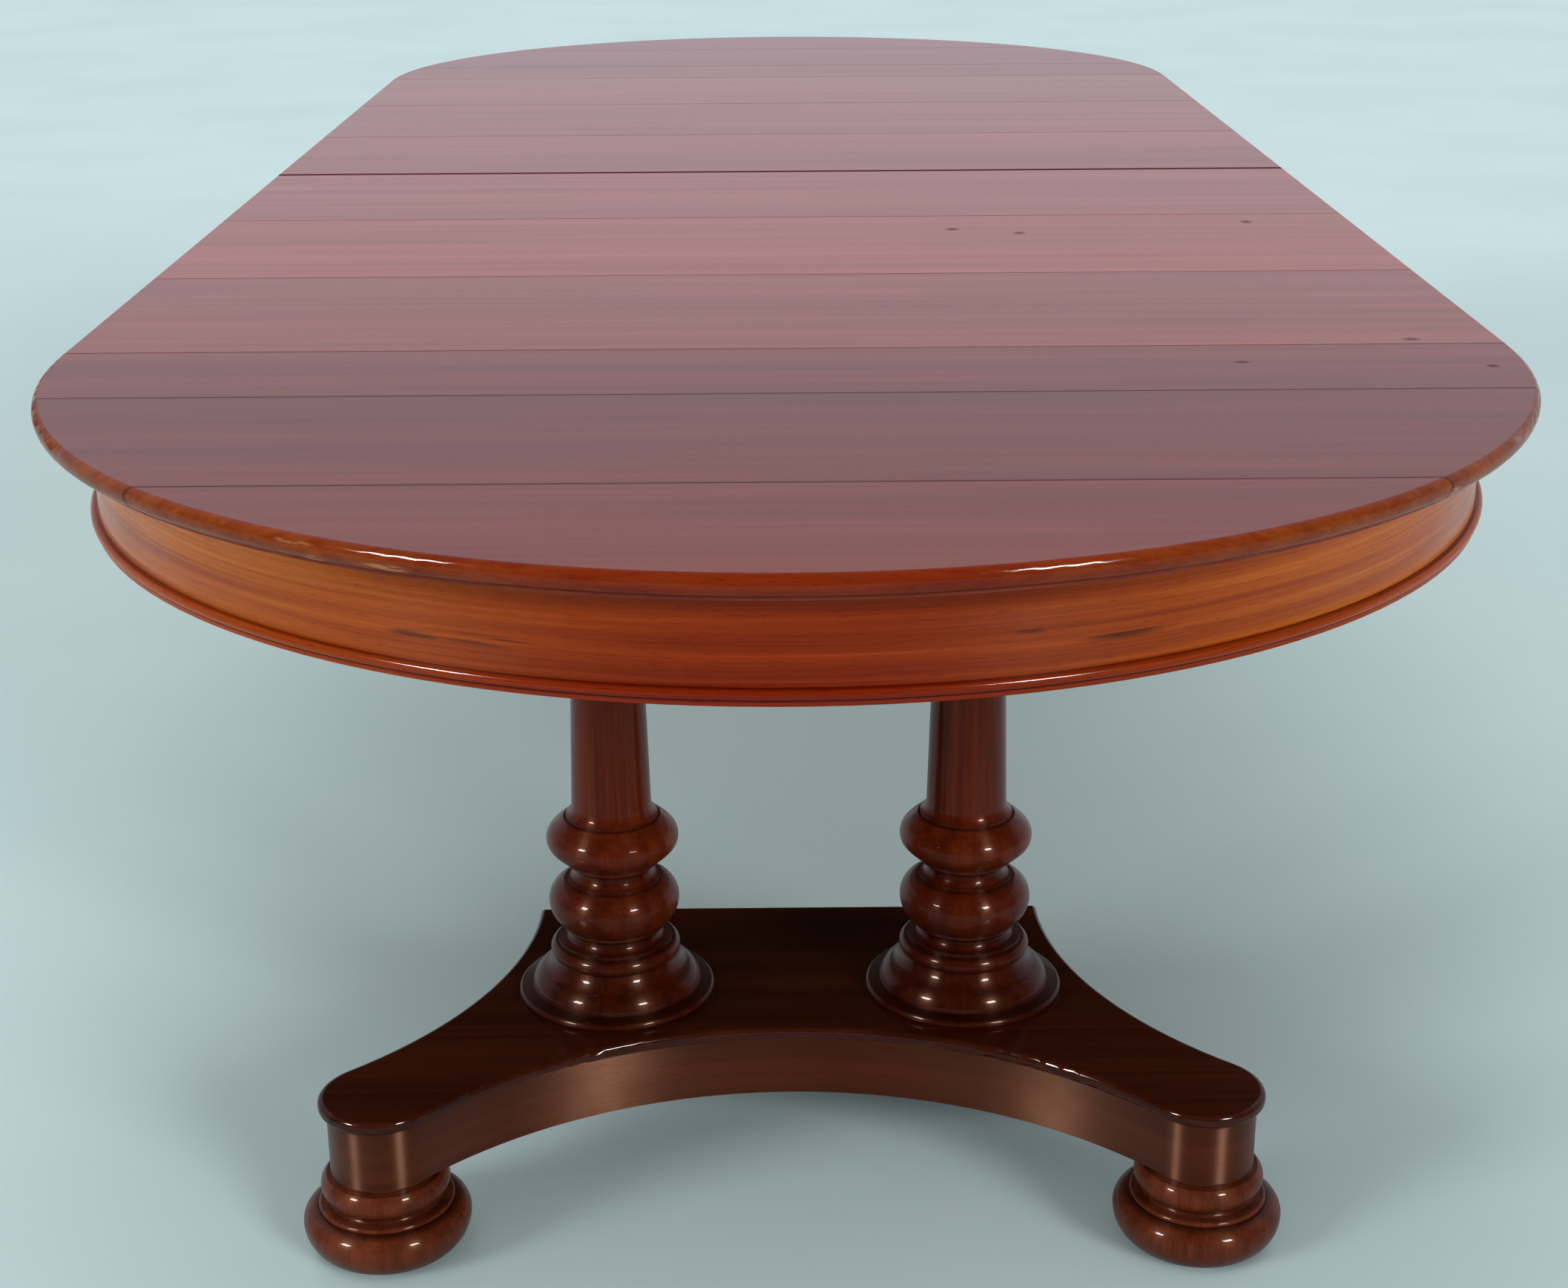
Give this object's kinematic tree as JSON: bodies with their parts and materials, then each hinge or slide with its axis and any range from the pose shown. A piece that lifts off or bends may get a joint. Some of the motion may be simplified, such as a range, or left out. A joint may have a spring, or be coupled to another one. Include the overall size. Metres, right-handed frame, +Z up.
{
  "type": "banquet table",
  "caption": "Long round-ended mahogany table on a split pedestal with turned columns and bun feet, drawn out on wooden slides over loose leaves.",
  "frame": {"origin": "on the floor under the middle of the top", "axes": "+Z up, +Y along the table to the far end of the picture, +X to the right of the picture"},
  "size_m": [1.3716, 3.505, 0.7366],
  "materials": {
    "polished_top": "polished mahogany, cross grain",
    "figured_apron": "polished figured mahogany veneer",
    "polished_base": "dark polished mahogany",
    "slide_wood": "bare hardwood",
    "bearer_wood": "bare hardwood, planed",
    "pine_blocks": "bare pine",
    "dowel_wood": "bare birch dowel",
    "steel_screws": "dull steel"
  },
  "bodies": {
    "near_half": {"near_top_inner_board": "polished_top", "near_top_middle_board": "polished_top", "near_top_outer_board": "polished_top", "near_apron": "figured_apron", "near_apron_bead": "figured_apron", "near_glue_blocks": "pine_blocks", "near_bearer": "bearer_wood", "near_head_block": "bearer_wood", "near_bearer_screws": "steel_screws", "near_rail_screws": "steel_screws", "near_platform_core": "polished_base", "near_platform_top": "polished_base", "near_column_left": "polished_base", "near_foot_left": "polished_base", "near_rail_left": "slide_wood", "near_column_right": "polished_base", "near_foot_right": "polished_base", "near_rail_right": "slide_wood"},
    "far_half": {"far_top_inner_board": "polished_top", "far_top_middle_board": "polished_top", "far_top_outer_board": "polished_top", "far_apron": "figured_apron", "far_apron_bead": "figured_apron", "far_glue_blocks": "pine_blocks", "far_bearer": "bearer_wood", "far_head_block": "bearer_wood", "far_bearer_screws": "steel_screws", "far_rail_screws": "steel_screws", "far_platform_core": "polished_base", "far_platform_top": "polished_base", "far_column_left": "polished_base", "far_foot_left": "polished_base", "far_rail_left": "slide_wood", "far_column_right": "polished_base", "far_foot_right": "polished_base", "far_rail_right": "slide_wood", "far_top_pins": "dowel_wood", "far_platform_dowels": "dowel_wood"},
    "slide_rail_1_left": {"slide_rail_1_left": "slide_wood"},
    "slide_rail_1_right": {"slide_rail_1_right": "slide_wood"},
    "slide_rail_2_left": {"slide_rail_2_left": "slide_wood"},
    "slide_rail_2_right": {"slide_rail_2_right": "slide_wood"},
    "slide_rail_3_left": {"slide_rail_3_left": "slide_wood"},
    "slide_rail_3_right": {"slide_rail_3_right": "slide_wood"},
    "leaf_1": {"leaf_1": "polished_top", "leaf_1_pins": "dowel_wood"},
    "leaf_2": {"leaf_2": "polished_top", "leaf_2_pins": "dowel_wood"},
    "leaf_3": {"leaf_3": "polished_top", "leaf_3_pins": "dowel_wood"},
    "leaf_4": {"leaf_4": "polished_top", "leaf_4_pins": "dowel_wood"},
    "leaf_5": {"leaf_5": "polished_top", "leaf_5_pins": "dowel_wood"},
    "leaf_6": {"leaf_6": "polished_top", "leaf_6_pins": "dowel_wood"}
  },
  "joints": [
    {"name": "extension", "type": "slide", "parent": "near_half", "child": "far_half", "axis": [0, 1, 0], "range_m": [0, 0.14]},
    {"name": "slide_rail_1_left_slide", "type": "slide", "parent": "near_half", "child": "slide_rail_1_left", "axis": [0, 1, 0], "range_m": [0, 0.036]},
    {"name": "slide_rail_1_right_slide", "type": "slide", "parent": "near_half", "child": "slide_rail_1_right", "axis": [0, 1, 0], "range_m": [0, 0.036]},
    {"name": "slide_rail_2_left_slide", "type": "slide", "parent": "near_half", "child": "slide_rail_2_left", "axis": [0, 1, 0], "range_m": [0, 0.071]},
    {"name": "slide_rail_2_right_slide", "type": "slide", "parent": "near_half", "child": "slide_rail_2_right", "axis": [0, 1, 0], "range_m": [0, 0.071]},
    {"name": "slide_rail_3_left_slide", "type": "slide", "parent": "near_half", "child": "slide_rail_3_left", "axis": [0, 1, 0], "range_m": [0, 0.106]},
    {"name": "slide_rail_3_right_slide", "type": "slide", "parent": "near_half", "child": "slide_rail_3_right", "axis": [0, 1, 0], "range_m": [0, 0.106]},
    {"name": "leaf_1_slide", "type": "slide", "parent": "near_half", "child": "leaf_1", "axis": [0, 1, 0], "range_m": [0, 0.021]},
    {"name": "leaf_2_slide", "type": "slide", "parent": "near_half", "child": "leaf_2", "axis": [0, 1, 0], "range_m": [0, 0.041]},
    {"name": "leaf_3_slide", "type": "slide", "parent": "near_half", "child": "leaf_3", "axis": [0, 1, 0], "range_m": [0, 0.061]},
    {"name": "leaf_4_slide", "type": "slide", "parent": "near_half", "child": "leaf_4", "axis": [0, 1, 0], "range_m": [0, 0.081]},
    {"name": "leaf_5_slide", "type": "slide", "parent": "near_half", "child": "leaf_5", "axis": [0, 1, 0], "range_m": [0, 0.101]},
    {"name": "leaf_6_slide", "type": "slide", "parent": "near_half", "child": "leaf_6", "axis": [0, 1, 0], "range_m": [0, 0.121]}
  ],
  "couplings": [
    {"joint": "slide_rail_1_left_slide", "follows": "extension", "ratio": 0.25},
    {"joint": "slide_rail_1_right_slide", "follows": "extension", "ratio": 0.25},
    {"joint": "slide_rail_2_left_slide", "follows": "extension", "ratio": 0.5},
    {"joint": "slide_rail_2_right_slide", "follows": "extension", "ratio": 0.5},
    {"joint": "slide_rail_3_left_slide", "follows": "extension", "ratio": 0.75},
    {"joint": "slide_rail_3_right_slide", "follows": "extension", "ratio": 0.75},
    {"joint": "leaf_1_slide", "follows": "extension", "ratio": 0.14286},
    {"joint": "leaf_2_slide", "follows": "extension", "ratio": 0.28571},
    {"joint": "leaf_3_slide", "follows": "extension", "ratio": 0.42857},
    {"joint": "leaf_4_slide", "follows": "extension", "ratio": 0.57143},
    {"joint": "leaf_5_slide", "follows": "extension", "ratio": 0.71429},
    {"joint": "leaf_6_slide", "follows": "extension", "ratio": 0.85714}
  ]
}
